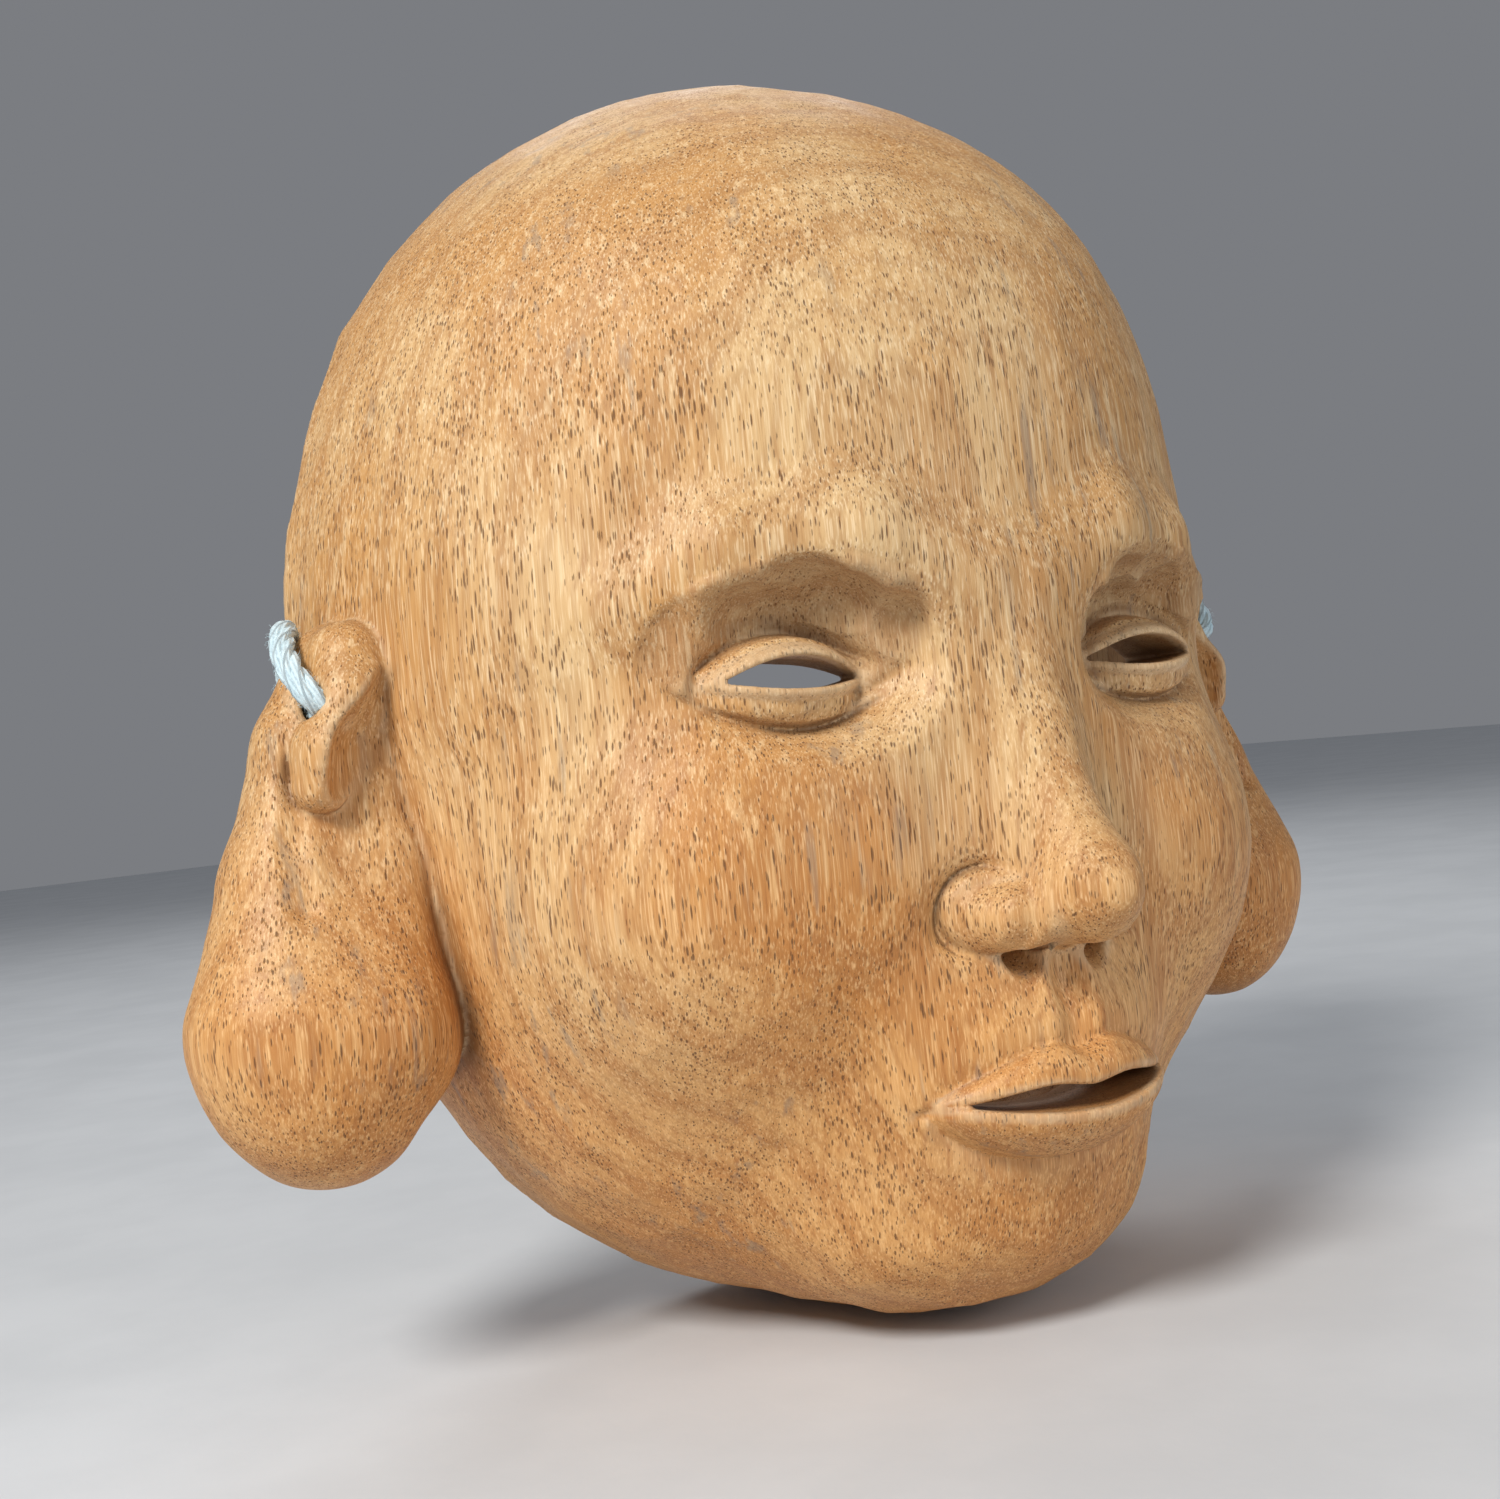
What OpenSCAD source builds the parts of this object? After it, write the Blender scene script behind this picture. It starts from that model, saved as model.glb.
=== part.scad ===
// Carved wooden mask, hollowed from one block, with a cord tied through its ears.
// +Z is up and the face looks along -Y. The back rim lies in the plane y = 0,
// and the origin is at the middle of the opening that the wearer's face enters.

/* [Mask] */
// Height from the crown to the chin
mask_h = 230; // [215:1:245]
// Width of the head at the rim, without the ears
mask_w = 188; // [176:1:200]
// Depth of the head from the rim to the forehead, without the nose
mask_d = 90; // [84:1:96]
// Thickness of the carved wall
wall = 11; // [9:0.5:13]

/* [Openings] */
// Height of each eye slit at its middle
eye_slit_h = 5.5; // [4.5:0.5:7]
// Height of the breathing slit between the lips
mouth_slit_h = 4.5; // [4:0.5:6]
// Diameter of each nostril
nostril_d = 6; // [4:0.5:7]

/* [Ears] */
// How far the lobe stands out past the side of the head
ear_reach = 30; // [27:1:32]
// Length of the ear from its top to the bottom of the lobe
ear_h = 94; // [90:1:98]
// Diameter of the hole that takes the cord
ear_hole_d = 6; // [5.5:0.5:6.5]

/* [Cord] */
// Diameter of the cord
cord_d = 4.4; // [4:0.1:4.6]
// Diameter of the tied knot
knot_d = 9.4; // [9:0.1:9.6]
// Width of the channel across the rim that the cord lies in
channel_w = 9; // [8:0.5:10]
// Depth of that channel below the rim's flat face
channel_d = 6.5; // [6:0.5:7]

/* [Hidden] */

// Half sizes of the head
hw = mask_w / 2;
hh = mask_h / 2;

// Classical proportions: the head is 3.5 units high, of which the face takes three
// equal ones below the hairline. The eyes lie half way down, the head is five eyes
// wide, and the mouth is a third of the way from the nose to the chin.
unit = mask_h / 3.5;
eye_w = mask_w / 5;
eye_x = eye_w;
brow_z = unit / 4;
nose_z = brow_z - unit;
mouth_z = nose_z - unit / 3;

// Grid lines across the front surface, and across the hollow
face_grid = 50;
hollow_grid = 26;
// Steps of the march that finds the surface along a ray
march_steps = 16;
// Outside the head along every ray, as a share of the head's half sizes
ray_start = 1.5;

// Places that the ear and the cord share, on the side where x is positive
ear_y = -20;
ear_top_z = 18;
hole_x = hw + 3.5;
hole_z = 3;
// how far forward the hole runs straight, before it turns outwards
hole_turn = 28.5;
knot_at = [hw + 4.3, -5.8, -7];
cord_z = -7;
// Where the channel opens into the hollow, and the cord's hinge is
swing_x = 78;

// Shape functions: each is a signed distance, negative inside the wood

// An ellipsoid of radii r about c
function ball(p, c, r) =
    let (q = p - c,
         a = norm([q.x / r.x, q.y / r.y, q.z / r.z]),
         b = norm([q.x / r.x / r.x, q.y / r.y / r.y, q.z / r.z / r.z]))
    a * (a - 1) / max(b, 0.0001);

// A rod from a to b, whose radius goes from ra to rb
function rod(p, a, b, ra, rb) =
    let (t = max(0, min(1, (p - a) * (b - a) / ((b - a) * (b - a)))))
    norm(p - a - t * (b - a)) - ra - t * (rb - ra);

// Two shapes joined with a fillet of about k, and the second scooped from the first
function join(a, b, k) = let (h = max(k - abs(a - b), 0)) min(a, b) - h * h / (4 * k);
function scoop(a, b, k) = -join(-a, b, k);

// The large masses of the head, which the hollow follows too
function skull(p) =
    let (cranium = ball(p, [0, 0, 0.07 * hh], [hw, mask_d, 0.93 * hh]),
         jaw = ball(p, [0, -0.24 * mask_d, -0.42 * hh], [0.82 * hw, 0.69 * mask_d, 0.57 * hh]),
         forehead = ball(p, [0, -0.22 * mask_d, 0.45 * hh], [0.79 * hw, 0.74 * mask_d, 0.52 * hh]),
         chin = ball(p, [0, -0.65 * mask_d, -0.80 * hh], [0.33 * hw, 0.27 * mask_d, 0.16 * hh]),
         cheek = ball(p, [0.43 * hw, -0.53 * mask_d, -0.30 * hh],
                      [0.36 * hw, 0.40 * mask_d, 0.30 * hh]),
         muzzle = ball(p, [0, -0.64 * mask_d, mouth_z + 0.06 * hh],
                       [0.35 * hw, 0.40 * mask_d, 0.235 * hh]))
    join(join(join(join(join(cranium, jaw, 20), forehead, 14), chin, 20), cheek, 14), muzzle, 12);

// The brows and eye sockets on those masses, for the side where x is positive
function face(p) =
    let (brow = rod(p, [9, -0.93 * mask_d, brow_z], [52, -0.79 * mask_d, brow_z], 6.5, 4.5),
         socket = ball(p, [eye_x, -mask_d, 1], [20, 15, 12.5]),
         nose_root = rod(p, [0, -0.86 * mask_d, brow_z], [0, -0.92 * mask_d, nose_z + 16], 6, 12),
         chin_fold = rod(p, [0, -1.13 * mask_d, mouth_z - 15], [16, -1.07 * mask_d, mouth_z - 14], 9, 7),
         socketed = scoop(join(skull(p), brow, 9), socket, 8))
    scoop(join(socketed, nose_root, 12), chin_fold, 8);

function front_field(p) = face([abs(p.x), p.y, p.z]);
function hollow_field(p) = skull([abs(p.x), p.y, p.z]) + wall;

// The share of the ray d at which the field's surface is met, going inward from s
function met_at(d, s, hollow, n) =
    n == 0 ? s
    : met_at(d, s - (hollow ? hollow_field(s * d) : front_field(s * d)) / norm(d), hollow, n - 1);

// A square grid wrapped over the front half of a globe: its border lies in the plane
// y = 0, and its cells are smallest in the middle, over the eyes and nose
function spread(a) = a * (0.75 + 0.25 * a * a);
function ray(a, b) =
    let (u = spread(a), v = spread(b),
         x = u * sqrt(1 - v * v / 2), z = v * sqrt(1 - u * u / 2),
         r = min(1, norm([x, z])),
         k = r < 0.0001 ? 0 : sin(90 * r) / r)
    [k * x * hw, r > 0.9999 ? 0 : -cos(90 * r) * mask_d, k * z * hh];

// A closed solid in front of y = back, whose front is the field's surface. Where back
// isn't 0, a straight wall joins the border to it.
module carved(n, hollow, back) {
    front = [for (j = [0:n], i = [0:n])
        let (d = ray(2 * i / n - 1, 2 * j / n - 1)) d * met_at(d, ray_start, hollow, march_steps)];
    skin = [for (j = [0:n - 1], i = [0:n - 1])
        let (k = j * (n + 1) + i) each [[k, k + n + 1, k + 1], [k + 1, k + n + 1, k + n + 2]]];
    border = concat([for (i = [0:n - 1]) i],
                    [for (j = [0:n - 1]) n + j * (n + 1)],
                    [for (i = [n:-1:1]) n * (n + 1) + i],
                    [for (j = [n:-1:1]) j * (n + 1)]);
    m = len(border);
    first = len(front);
    wall_strip = [for (k = [0:m - 1])
        let (l = (k + 1) % m)
        each [[border[k], border[l], first + k], [first + k, border[l], first + l]]];
    if (back == 0)
        polyhedron(points = front, faces = concat(skin, [border]));
    else
        polyhedron(
            points = concat(front, [for (k = border) [front[k].x, back, front[k].z]]),
            faces = concat(skin, wall_strip, [[for (k = [0:m - 1]) first + k]]));
}

// A lens shape h high and w wide, cut straight back from the face
module slit(w, h, bow) {
    r = (w * w / 4 + h * h / 4) / h;
    translate([0, -0.5 * mask_d, bow])
        rotate([90, 0, 0])
            linear_extrude(height = mask_d)
                intersection() {
                    translate([0, r - h / 2]) circle(r, $fn = 120);
                    translate([0, h / 2 - r]) circle(r, $fn = 120);
                }
}

// A ball of radius r at [x, y, z], as one end of a hull
module bead(x, y, z, r) {
    translate([x, y, z]) sphere(r, $fn = 18);
}

// A chain of hulls through a list of beads, each [x, y, z, r]
module chain(beads) {
    for (k = [0:len(beads) - 2])
        hull()
            for (b = [beads[k], beads[k + 1]])
                bead(b[0], b[1], b[2], b[3]);
}

module nose() {
    hull() {
        bead(0, -0.88 * mask_d, brow_z - 8, 5.5);
        bead(0, -1.11 * mask_d, nose_z + 11, 8.5);
        for (side = [-1, 1])
            bead(10 * side, -0.98 * mask_d, nose_z + 8, 6);
    }
    // the tip and the wings
    bead(0, -1.115 * mask_d, nose_z + 10, 9.5);
    for (side = [-1, 1])
        hull() {
            bead(11.5 * side, -0.97 * mask_d, nose_z + 7.5, 7);
            bead(5 * side, -1.07 * mask_d, nose_z + 8, 6.5);
        }
}

// The closed lids over the eye, on the side where x is positive
module lids() {
    translate([eye_x, -0.73 * mask_d, -0.5])
        scale([0.44 * eye_w, 0.165 * mask_d, 11])
            sphere(1, $fn = 30);
}

// Half of each lip, on the side where x is positive
module lips() {
    chain([[0, -1.01 * mask_d, mouth_z + 3.6, 4.2], [6, -1.01 * mask_d, mouth_z + 4.4, 4.3],
           [17, -0.96 * mask_d, mouth_z + 3, 3.4], [28, -0.85 * mask_d, mouth_z, 2]]);
    chain([[0, -mask_d, mouth_z - 5.2, 5.2], [13, -0.96 * mask_d, mouth_z - 4.4, 4.6],
           [26, -0.86 * mask_d, mouth_z - 1, 2]]);
}

// The ear on the side where x is positive
module ear() {
    low_z = ear_top_z - ear_h;
    lobe_x = hw + ear_reach - 18;
    difference() {
        union() {
            // the flat upper part
            hull() {
                bead(hw - 2, ear_y, ear_top_z - 7.5, 7.5);
                bead(hw + 5, ear_y, -3, 8);
                bead(hw - 4, ear_y - 2, -3, 9);
            }
            // the neck of the lobe
            hull() {
                bead(hw + 5, ear_y, -3, 8);
                bead(hw - 4, ear_y - 2, -3, 9);
                bead(hw + 9, ear_y - 1, -24, 11);
                bead(hw - 5, ear_y - 3, -24, 10);
            }
            // the long lobe
            hull() {
                bead(hw + 9, ear_y - 1, -24, 11);
                bead(hw - 5, ear_y - 3, -24, 10);
                bead(lobe_x, ear_y - 3, low_z + 27, 18);
                bead(lobe_x - 9, ear_y - 4, low_z + 25, 17);
                bead(lobe_x - 5, ear_y - 3, low_z + 17, 17);
            }
            // the flap that comes down in front of the hollow of the ear
            chain([[hw - 2.5, ear_y - 5.5, ear_top_z - 7.5, 7], [hw - 1, ear_y - 9.5, 4, 5.5],
                   [hw + 3.5, ear_y - 10.5, -4, 5.5], [hw + 6, ear_y - 10.5, -9.5, 4.5]]);
        }
        // the hollow of the ear
        chain([[hw + 6, ear_y - 12, hole_z + 2, 4], [hw + 9.5, ear_y - 12, -7, 4.4],
               [hw + 12.5, ear_y - 13, -17, 3.2]]);
        // the scoop between the flap and the head
        chain([[hw - 8, ear_y - 17, 5, 5.5], [hw - 3, ear_y - 18.5, -5, 8.5],
               [hw - 0.5, ear_y - 18.5, -9.5, 8]]);
        // the cord's hole, which turns outwards under the flap
        translate([hole_x, 0, hole_z])
            rotate([90, 0, 0])
                cylinder(h = hole_turn, d = ear_hole_d, $fn = 32);
        chain([[hole_x, -hole_turn, hole_z, ear_hole_d / 2],
               [hole_x + 7.5, -hole_turn - 4.5, hole_z + 2.5, ear_hole_d / 2]]);
    }
}

module mask_shell() {
    color("burlywood")
    difference() {
        union() {
            carved(face_grid, false, 0);
            nose();
            for (side = [0, 1])
                mirror([side, 0, 0]) {
                    lids();
                    lips();
                    ear();
                }
        }
        carved(hollow_grid, true, 2);
        for (side = [0, 1])
            mirror([side, 0, 0]) {
                translate([eye_x, 0, 0]) slit(0.68 * eye_w, eye_slit_h, -1);
                // nostril, up and back into the hollow
                hull() {
                    bead(7.6, -1.13 * mask_d, nose_z - 6, nostril_d / 2);
                    bead(8.6, -0.74 * mask_d, nose_z + 16, nostril_d / 2);
                }
                // channel for the cord across the rim
                translate([swing_x - 6, -channel_d, cord_z - channel_w / 2])
                    cube([hw - swing_x + 8, channel_d + 1, channel_w]);
            }
        translate([0, 0, mouth_z]) slit(1.1 * eye_w, mouth_slit_h, 0);
    }
}

// The cord's route on the side where x is positive

// Out of the knot, forward through the ear's hole, round the ear's edge and back
loop_route = [[100.4, -7.6, -6], [99.9, -8.2, -3.4], [99.2, -8.8, -0.4], [97.6, -10.4, 2.6],
    [97.5, -14, 3], [97.5, -21, 3], [97.5, -28, 3], [98.5, -31, 3.2], [100.6, -31.6, 5.2],
    [102.2, -29.2, 8.8], [102.2, -25.6, 12], [101.2, -22, 14.6], [99.8, -19, 16.4],
    [98.4, -16, 16.9], [97.4, -13, 15.6], [96.7, -10.6, 12.6], [96.2, -8.2, 8.4], [96.3, -6, 4],
    [96.6, -5, -0.5], [97, -4.9, -5]];
// The free end below the knot
tail_route = [[98.9, -6, -10], [99.6, -6, -15], [100.4, -6.2, -20], [100.2, -6.3, -26], [99.4, -6, -32]];
// From the knot through the channel to the hinge
lead_route = [[97, -4.5, -7], [94.5, -3.7, -7], [91, -3.3, -7], [85, -3.3, -7], [78, -3.3, -7]];
// From the hinge to the middle of the hanging span
span_half = [[77.7, -3.3, -7], [75.5, -3.3, -7], [73.4, -3.3, -7.8], [71.4, -3.3, -9.1],
    [69.3, -3.3, -11.1], [62, -3.3, -19.3], [54, -3.3, -27.2], [45, -3.3, -34.8], [35, -3.3, -41.6],
    [24, -3.3, -47.1], [12, -3.3, -50.8]];
span_route = concat(span_half, [[0, -3.3, -52]],
    [for (k = [len(span_half) - 1:-1:0]) [-span_half[k].x, span_half[k].y, span_half[k].z]]);

// A tube swept along a route; aside is a direction that the route never follows
module tube(route, aside, sides = 10) {
    n = len(route);
    rings = [for (i = [0:n - 1])
        let (t = route[min(i + 1, n - 1)] - route[max(i - 1, 0)],
             c = cross(aside, t), u = c / norm(c), d = cross(t, u), v = d / norm(d))
        for (k = [0:sides - 1])
            route[i] + cord_d / 2 * (cos(360 * k / sides) * u + sin(360 * k / sides) * v)];
    polyhedron(
        points = rings,
        faces = concat(
            [for (i = [0:n - 2], k = [0:sides - 1])
                let (l = (k + 1) % sides, a = i * sides, b = a + sides)
                each [[a + k, b + k, b + l], [a + k, b + l, a + l]]],
            [[for (k = [0:sides - 1]) k],
             [for (k = [sides - 1:-1:0]) (n - 1) * sides + k]]));
}

module cord_loop() { color("lightsteelblue") tube(loop_route, [0.8, 0, 0.35]); }
module cord_knot() {
    color("lightsteelblue")
    translate(knot_at)
        hull()
            for (end = [-1, 1])
                translate([0, 0, end * 0.3 * knot_d]) sphere(d = knot_d, $fn = 24);
}
module cord_tail() { color("lightsteelblue") tube(tail_route, [0, 1, 0]); }
module cord_lead() { color("lightsteelblue") tube(lead_route, [0, 0, 1]); }

// The mask's own right ear is on the side where x is negative
module cord_loop_right() { mirror([1, 0, 0]) cord_loop(); }
module cord_knot_right() { mirror([1, 0, 0]) cord_knot(); }
module cord_tail_right() { mirror([1, 0, 0]) cord_tail(); }
module cord_lead_right() { mirror([1, 0, 0]) cord_lead(); }
module cord_loop_left() { cord_loop(); }
module cord_knot_left() { cord_knot(); }
module cord_tail_left() { cord_tail(); }
module cord_lead_left() { cord_lead(); }

// The stretch that hangs in the hollow and swings
module cord_span() { color("lightsteelblue") tube(span_route, [0, 1, 0]); }

mask_shell();
cord_loop_right();
cord_knot_right();
cord_tail_right();
cord_lead_right();
cord_loop_left();
cord_knot_left();
cord_tail_left();
cord_lead_left();
cord_span();
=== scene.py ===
"""Carved wooden mask with a cord tied through its ears.

Shapes are worked out in millimetres in the frame's own axes: +z up, the face looks
along -y, and the mask's own left is +x. Each mesh becomes metres as it is made.
"""

import math

import bpy
import numpy as np
from mathutils import Matrix, Vector


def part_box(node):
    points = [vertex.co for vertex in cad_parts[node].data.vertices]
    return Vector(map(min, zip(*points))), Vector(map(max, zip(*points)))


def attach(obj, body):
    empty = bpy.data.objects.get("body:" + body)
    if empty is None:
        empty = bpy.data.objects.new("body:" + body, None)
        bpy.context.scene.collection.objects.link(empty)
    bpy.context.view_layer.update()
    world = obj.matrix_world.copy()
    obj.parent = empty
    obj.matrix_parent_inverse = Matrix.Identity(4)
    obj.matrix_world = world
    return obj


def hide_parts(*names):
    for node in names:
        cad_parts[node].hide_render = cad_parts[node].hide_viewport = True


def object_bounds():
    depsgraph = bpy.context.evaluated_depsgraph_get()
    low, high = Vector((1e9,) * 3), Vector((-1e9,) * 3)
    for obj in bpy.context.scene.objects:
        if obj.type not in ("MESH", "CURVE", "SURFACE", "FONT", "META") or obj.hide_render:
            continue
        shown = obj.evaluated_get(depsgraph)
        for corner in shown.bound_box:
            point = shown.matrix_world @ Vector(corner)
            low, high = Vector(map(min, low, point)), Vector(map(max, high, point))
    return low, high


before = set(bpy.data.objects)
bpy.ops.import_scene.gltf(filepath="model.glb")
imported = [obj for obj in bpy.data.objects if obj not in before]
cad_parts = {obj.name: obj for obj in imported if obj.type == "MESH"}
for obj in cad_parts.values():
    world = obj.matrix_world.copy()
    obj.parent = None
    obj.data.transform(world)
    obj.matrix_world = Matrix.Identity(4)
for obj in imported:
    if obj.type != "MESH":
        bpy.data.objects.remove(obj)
cad_box = [list(corner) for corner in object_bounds()]

MM = 0.001
TURN = 2 * math.pi

# The head's driving sizes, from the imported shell
SHELL_LOW, SHELL_HIGH = (np.array(corner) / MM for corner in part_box("mask_shell"))
EAR_REACH = 30.0
HALF_W = SHELL_HIGH[0] - EAR_REACH
HALF_H = (SHELL_HIGH[2] - SHELL_LOW[2]) / 2
DEPTH = -0.82 * SHELL_LOW[1]
WALL = 11.0

# Classical proportions of the face, as in the CAD model
UNIT = 2 * HALF_H / 3.5
EYE_W = 2 * HALF_W / 5
EYE_X = EYE_W
EYE_Z = -1.0
BROW_Z = UNIT / 4
NOSE_Z = BROW_Z - UNIT
MOUTH_Z = NOSE_Z - UNIT / 3

# The ball that both lids of an eye are cut from
LIDS_AT = (EYE_X, -0.735 * DEPTH, EYE_Z - 0.8)
LIDS_SIZE = (0.47 * EYE_W, 0.18 * DEPTH, 11.5)

# The ear and the cord's places, on the side where x is positive
EAR_Y = -20.0
EAR_TOP = 18.0
EAR_LOW = -76.0
HOLE_X, HOLE_Z, HOLE_D = HALF_W + 3.5, 3.0, 6.0
KNOT_AT = (HALF_W + 4.3, -5.8, -7.0)
CHANNEL_X, CHANNEL_Z, CHANNEL_W, CHANNEL_D = 72.0, -7.0, 9.0, 6.5
CORD_D = 4.4

# The cord's route, as the CAD model has it
LOOP_ROUTE = [
    (100.4, -7.6, -6), (99.9, -8.2, -3.4), (99.2, -8.8, -0.4), (97.6, -10.4, 2.6),
    (97.5, -14, 3), (97.5, -21, 3), (97.5, -28, 3), (98.5, -31, 3.2), (100.6, -31.6, 5.2),
    (102.2, -29.2, 8.8), (102.2, -25.6, 12), (101.2, -22, 14.6), (99.8, -19, 16.4),
    (98.4, -16, 16.9), (97.4, -13, 15.6), (96.7, -10.6, 12.6), (96.2, -8.2, 8.4),
    (96.3, -6, 4), (96.6, -5, -0.5), (97, -4.9, -5),
]
TAIL_ROUTE = [
    (98.9, -6, -10), (99.6, -6, -15), (100.4, -6.2, -20), (100.2, -6.3, -26), (99.4, -6, -32),
]
LEAD_ROUTE = [(97, -4.5, -7), (94.5, -3.7, -7), (91, -3.3, -7), (85, -3.3, -7), (78, -3.3, -7)]
KNOT_ENTRY = (98.2, -5.6, -6.6)
SPAN_HALF = [
    (77.7, -3.3, -7), (75.5, -3.3, -7), (73.4, -3.3, -7.8), (71.4, -3.3, -9.1),
    (69.3, -3.3, -11.1), (62, -3.3, -19.3), (54, -3.3, -27.2), (45, -3.3, -34.8),
    (35, -3.3, -41.6), (24, -3.3, -47.1), (12, -3.3, -50.8),
]
SPAN_MIDDLE = (0, -3.3, -52)


# ---------------------------------------------------------------- camera

def make_camera():
    """The photograph's view: level, from the mask's right, with the camera rolled a little."""
    yaw, roll = math.radians(-32), math.radians(-6)
    target, distance = Vector((-0.0267, -0.045, -0.0109)), 0.335
    back = Vector((math.sin(yaw), -math.cos(yaw), 0))
    right, up = Vector((math.cos(yaw), math.sin(yaw), 0)), Vector((0, 0, 1))
    across = math.cos(roll) * right + math.sin(roll) * up
    upward = math.cos(roll) * up - math.sin(roll) * right
    data = bpy.data.cameras.new("camera")
    data.lens = 45.6
    camera = bpy.data.objects.new("camera", data)
    turn = Matrix((across, upward, back)).transposed().to_4x4()
    camera.matrix_world = Matrix.Translation(target + distance * back) @ turn
    bpy.context.scene.collection.objects.link(camera)
    bpy.context.scene.camera = camera


# ---------------------------------------------------------------- meshes

def as_piece(name, mesh, attributes):
    """A smooth object for a mesh, where each attribute gives a number for every point."""
    mesh.polygons.foreach_set("use_smooth", np.ones(len(mesh.polygons), bool))
    for key, values in attributes.items():
        layer = mesh.attributes.new(key, "FLOAT", "POINT")
        layer.data.foreach_set("value", np.asarray(values, np.float32))
    piece = bpy.data.objects.new(name, mesh)
    bpy.context.scene.collection.objects.link(piece)
    return piece


def make_mesh(name, points, quads, attributes):
    """A piece from points in millimetres and quads, which may be many."""
    points, quads = np.asarray(points, np.float32), np.asarray(quads, np.int32)
    mesh = bpy.data.meshes.new(name)
    mesh.vertices.add(len(points))
    mesh.vertices.foreach_set("co", (points * MM).ravel())
    mesh.loops.add(quads.size)
    mesh.loops.foreach_set("vertex_index", quads.ravel())
    mesh.polygons.add(len(quads))
    mesh.polygons.foreach_set("loop_start", np.arange(0, quads.size, 4, dtype=np.int32))
    mesh.update(calc_edges=True)
    return as_piece(name, mesh, attributes)


def smooth_route(points, step):
    """A Catmull-Rom curve through the points, as points about step apart."""
    p = np.asarray(points, float)
    p = np.vstack([2 * p[0] - p[1], p, 2 * p[-1] - p[-2]])
    curve = [p[1:2]]
    for a, b, c, d in zip(p, p[1:], p[2:], p[3:]):
        count = max(2, int(np.linalg.norm(c - b) / step))
        t = (np.arange(1, count + 1) / count)[:, None]
        curve.append(0.5 * (2 * b + (c - a) * t + (2 * a - 5 * b + 4 * c - d) * t**2
                            + (3 * b - a - 3 * c + d) * t**3))
    return np.vstack(curve)


def frames_along(curve):
    """Two directions across the curve at each point, which turn as little as they can."""
    ahead = np.gradient(curve, axis=0)
    ahead /= np.linalg.norm(ahead, axis=1)[:, None]
    side = np.empty_like(curve)
    start = np.cross(ahead[0], (0.3, 0.2, 0.9))
    side[0] = start / np.linalg.norm(start)
    for k in range(1, len(curve)):
        s = side[k - 1] - ahead[k] * (side[k - 1] @ ahead[k])
        side[k] = s / np.linalg.norm(s)
    return side, np.cross(ahead, side)


def tube(curve, side, up, radius, sides):
    """Points and quads of a round tube along the curve, and the triangles that close its ends,
    as quads with their last corner twice. Radius is one number, or one for every point."""
    n = len(curve)
    radius = np.broadcast_to(np.asarray(radius, float).reshape(-1, 1, 1), (n, 1, 1))
    turn = TURN * np.arange(sides) / sides
    ring = (np.cos(turn)[None, :, None] * side[:, None]
            + np.sin(turn)[None, :, None] * up[:, None])
    points = (curve[:, None] + radius * ring).reshape(-1, 3)
    points = np.vstack([points, curve[:1], curve[-1:]])
    row, col = np.meshgrid(np.arange(n - 1), np.arange(sides), indexing="ij")
    a, b = row * sides + col, row * sides + (col + 1) % sides
    quads = np.stack([a, b, b + sides, a + sides], -1).reshape(-1, 4)
    k = np.arange(sides)
    after, end = (k + 1) % sides, (n - 1) * sides
    first, last = np.full(sides, n * sides), np.full(sides, n * sides + 1)
    caps = np.vstack([np.stack([first, after, k, k], 1),
                      np.stack([last, end + k, end + after, end + after], 1)])
    return points, quads, caps


# ---------------------------------------------------------------- cord

STRANDS = 5
STRAND_R = 0.24 * CORD_D
STRAND_OUT = CORD_D / 2 - STRAND_R
STRAND_SIDES = 14
LAY_LENGTH = 24.0
ROUTE_STEP = 0.45
FIBRE_GAP = 0.16
FIBRE_ROOT_R, FIBRE_TIP_R = 0.028, 0.012
KNOT_SQUEEZE = 0.8


def twisted(name, route, body, seed, squeeze=1.0):
    """Strands laid round each other along the route, with loose fibres on them. A squeeze
    below 1 draws the strands together and thins them."""
    curve = smooth_route(route, ROUTE_STEP)
    along = np.concatenate([[0], np.cumsum(np.linalg.norm(np.diff(curve, axis=0), axis=1))])
    side, up = frames_along(curve)
    around = np.tile(np.arange(STRAND_SIDES) / STRAND_SIDES, len(curve))
    points, faces, used = [], [], 0
    for k in range(STRANDS):
        angle = TURN * (along / LAY_LENGTH + k / STRANDS)
        out = np.cos(angle)[:, None] * side + np.sin(angle)[:, None] * up
        across = np.cross(np.cross(side, up), out)
        spot = curve + squeeze * STRAND_OUT * out
        plump = 1 + 0.05 * np.sin(along * 1.9 + 2.1 * k) + 0.03 * np.sin(along * 4.3 + k)
        p, quads, caps = tube(spot, out, across, squeeze * STRAND_R * plump, STRAND_SIDES)
        points.append(p)
        faces.append(np.vstack([quads, caps]) + used)
        used += len(p)
    # every strand has a row of points for each place along the cord, and one point at each end
    lengths = np.concatenate([np.repeat(along, STRAND_SIDES), along[[0, -1]]])
    rounds = np.concatenate([around, [0, 0]])
    piece = make_cord_mesh(name, np.vstack(points), np.vstack(faces), {
        "length_mm": np.tile(lengths, STRANDS), "round": np.tile(rounds, STRANDS)})
    merge(piece, *make_fibres(curve, along, side, up, seed))
    piece.data.materials.append(cord_material())
    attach(piece, body)
    return piece, curve


def make_cord_mesh(name, points, faces, attributes):
    """A cord's piece. A face whose last two corners are the same becomes a triangle."""
    mesh = bpy.data.meshes.new(name)
    shapes = [tuple(f[:3]) if f[2] == f[3] else tuple(f) for f in faces.tolist()]
    mesh.from_pydata((points * MM).tolist(), [], shapes)
    return as_piece(name, mesh, attributes)


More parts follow.
